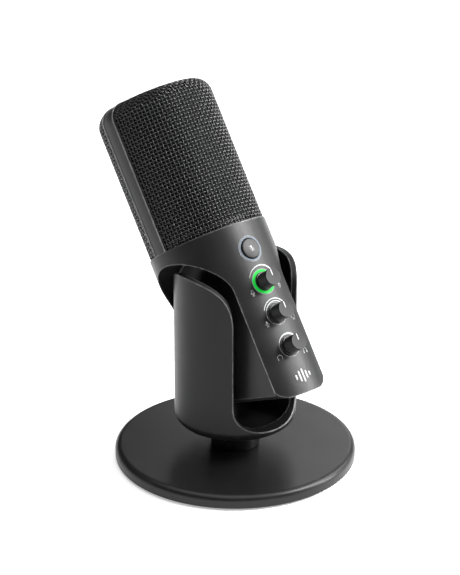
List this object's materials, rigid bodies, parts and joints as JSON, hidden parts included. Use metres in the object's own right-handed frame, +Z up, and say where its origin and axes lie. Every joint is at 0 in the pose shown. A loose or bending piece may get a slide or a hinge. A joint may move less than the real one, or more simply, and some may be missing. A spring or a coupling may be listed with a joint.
{
  "type": "desktop microphone",
  "caption": "Cylindrical side-address desk microphone with woven grille and front knobs, tilting in a U-shaped yoke on a round weighted base.",
  "frame": {"origin": "centre of the round base on the surface it stands on", "axes": "+Z up; the control panel faces -Y; +X to the right seen from the front"},
  "size_m": [0.125, 0.1526, 0.1941],
  "materials": {
    "rubber": "matt black rubber sheet",
    "base_plastic": "satin black, very fine moulded grain",
    "steel": "turned steel",
    "screw_steel": "black oxide steel",
    "stand_plastic": "satin charcoal paint",
    "brass": "turned brass",
    "nylon": "natural nylon",
    "housing_plastic": "satin charcoal paint",
    "grille_wire": "black painted woven wire",
    "screen_mesh": "fine black mesh",
    "inner_plastic": "moulded black plastic",
    "circuit_board": "green solder mask",
    "socket_steel": "nickel plated steel",
    "pot_metal": "zinc plated can",
    "knob_plastic": "satin dark grey, knurled sides",
    "white_inlay": "white filled line",
    "trim_black": "black moulded ring",
    "mute_lens": "pale translucent light pipe",
    "gain_lens": "lit green light pipe",
    "cradle_rubber": "soft black rubber",
    "capsule_metal": "turned brass",
    "diaphragm_gold": "gold film"
  },
  "bodies": {
    "stand": {"foot_pad": "rubber", "base_cover": "base_plastic", "base_weight": "steel", "mount_stud": "steel", "pivot_screw_left": "steel", "pivot_screw_right": "steel", "wave_washer_left": "steel", "wave_washer_right": "steel", "base_screws": "screw_steel", "yoke": "stand_plastic", "neck_collar": "stand_plastic", "thread_insert": "brass"},
    "microphone": {"cap_screws": "screw_steel", "board_screws": "screw_steel", "mount_screws": "screw_steel", "bush_left": "brass", "bush_right": "brass", "friction_washer_left": "nylon", "friction_washer_right": "nylon", "housing_shell": "housing_plastic", "bottom_cap": "housing_plastic", "head_frame": "housing_plastic", "front_grille": "grille_wire", "rear_grille": "grille_wire", "inner_screen": "screen_mesh", "chassis": "inner_plastic", "capsule_mount": "inner_plastic", "mute_switch": "inner_plastic", "headphone_jack": "inner_plastic", "control_board": "circuit_board", "main_board": "circuit_board", "usb_socket": "socket_steel", "gain_pot": "pot_metal", "mix_pot": "pot_metal", "volume_pot": "pot_metal", "mix_trim_ring": "trim_black", "volume_trim_ring": "trim_black", "mute_light_ring": "mute_lens", "gain_light_ring": "gain_lens", "capsule_cradle": "cradle_rubber", "capsule_body": "capsule_metal", "capsule_diaphragm": "diaphragm_gold"},
    "gain_knob": {"gain_knob": "knob_plastic", "gain_shaft": "steel", "gain_pointer": "white_inlay"},
    "mix_knob": {"mix_knob": "knob_plastic", "mix_shaft": "steel", "mix_pointer": "white_inlay"},
    "volume_knob": {"volume_knob": "knob_plastic", "volume_shaft": "steel", "volume_pointer": "white_inlay"},
    "mute_button": {"mute_cap": "knob_plastic", "mute_plunger": "nylon"}
  },
  "joints": [
    {"name": "mic_tilt", "type": "hinge", "parent": "stand", "child": "microphone", "pos_m": [0, 0, 0.083], "axis": [-1, 0, 0], "range_deg": [-35, 10]},
    {"name": "gain_turn", "type": "hinge", "parent": "microphone", "child": "gain_knob", "pos_m": [0, -0.02212, 0.10646], "axis": [0, -0.8167, 0.577], "range_deg": [-140, 140]},
    {"name": "mix_turn", "type": "hinge", "parent": "microphone", "child": "mix_knob", "pos_m": [0, -0.03216, 0.09225], "axis": [0, -0.8167, 0.577], "range_deg": [-140, 140]},
    {"name": "volume_turn", "type": "hinge", "parent": "microphone", "child": "volume_knob", "pos_m": [0, -0.0422, 0.07804], "axis": [0, -0.8167, 0.577], "range_deg": [-140, 140]},
    {"name": "mute_press", "type": "slide", "parent": "microphone", "child": "mute_button", "axis": [0, 0.8167, -0.577], "range_m": [0, 0.001], "stiffness_N_per_m": 900}
  ]
}
